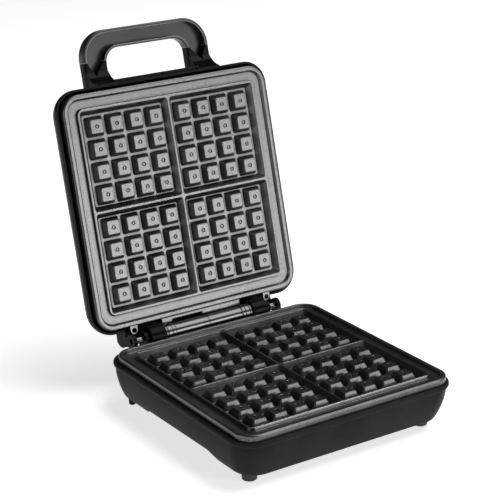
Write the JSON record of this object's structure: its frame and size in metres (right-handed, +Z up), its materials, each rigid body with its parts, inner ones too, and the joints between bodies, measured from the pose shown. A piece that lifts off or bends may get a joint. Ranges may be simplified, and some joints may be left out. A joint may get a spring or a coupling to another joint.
{
  "type": "waffle maker",
  "caption": "Square countertop waffle maker, lid standing open on a rear hinge, with ridged non-stick plates, a loop handle on the lid and a low footed base.",
  "frame": {"origin": "on the table, under the middle of the open outline, on the left-right centre plane", "axes": "+X towards the right side seen from the front, +Y towards the rear hinge, +Z up"},
  "size_m": [0.2456, 0.3767, 0.3423],
  "materials": {
    "housing_black": "satin",
    "lid_black": "gloss",
    "hinge_black": "satin",
    "cover_black": "textured paint on sheet steel",
    "foot_rubber": "matte",
    "nonstick": "dark non-stick coating with a satin sheen",
    "grip_grey": "satin",
    "strip_grey": "satin",
    "panel_metal": "brushed",
    "tube_steel": "satin",
    "pin_steel": "machined",
    "sheet_steel": "bright sheet",
    "heater_steel": "heat-tinted",
    "screw_steel": "zinc plated",
    "terminal_white": "matte",
    "thermostat_body": "matte",
    "fuse_body": "satin",
    "lead_sleeve": "matte",
    "bush_rubber": "matte",
    "lamp_red": "clear",
    "lamp_green": "clear",
    "board_green": "satin"
  },
  "bodies": {
    "base": {"base_housing": "housing_black", "base_cover": "cover_black", "front_feet": "foot_rubber", "cover_screws": "screw_steel", "lower_plate": "nonstick", "lower_plate_screws": "screw_steel", "lower_reflector": "sheet_steel", "lower_heater": "heater_steel", "lower_thermal_fuse": "fuse_body", "terminal_block": "terminal_white", "cord_gland": "bush_rubber", "base_wiring": "lead_sleeve", "hinge_bracket_right": "hinge_black", "hinge_bracket_left": "hinge_black", "hinge_pin_right": "pin_steel", "hinge_pin_left": "pin_steel", "tube_right": "tube_steel", "tube_collar_right": "tube_steel", "tube_saddle_right": "hinge_black"},
    "lid": {"upper_plate": "nonstick", "upper_plate_screws": "screw_steel", "upper_reflector": "sheet_steel", "upper_heater": "heater_steel", "thermostat": "thermostat_body", "lid_housing": "lid_black", "lid_panel": "panel_metal", "lid_screws": "screw_steel", "lamp_left": "lamp_red", "lamp_right": "lamp_green", "lamp_board": "board_green", "lid_arm_right": "hinge_black", "lid_arm_left": "hinge_black", "tube_left": "tube_steel", "tube_collar_left": "tube_steel", "tube_saddle_left": "hinge_black", "handle_bracket": "lid_black", "handle_grip": "grip_grey", "handle_strip": "strip_grey", "handle_screws": "screw_steel", "hinge_cover": "hinge_black"}
  },
  "joints": [
    {"name": "lid_hinge", "type": "hinge", "parent": "base", "child": "lid", "pos_m": [0, 0.0649, 0.0524], "axis": [1, 0, 0], "range_deg": [0, 104.7]}
  ]
}
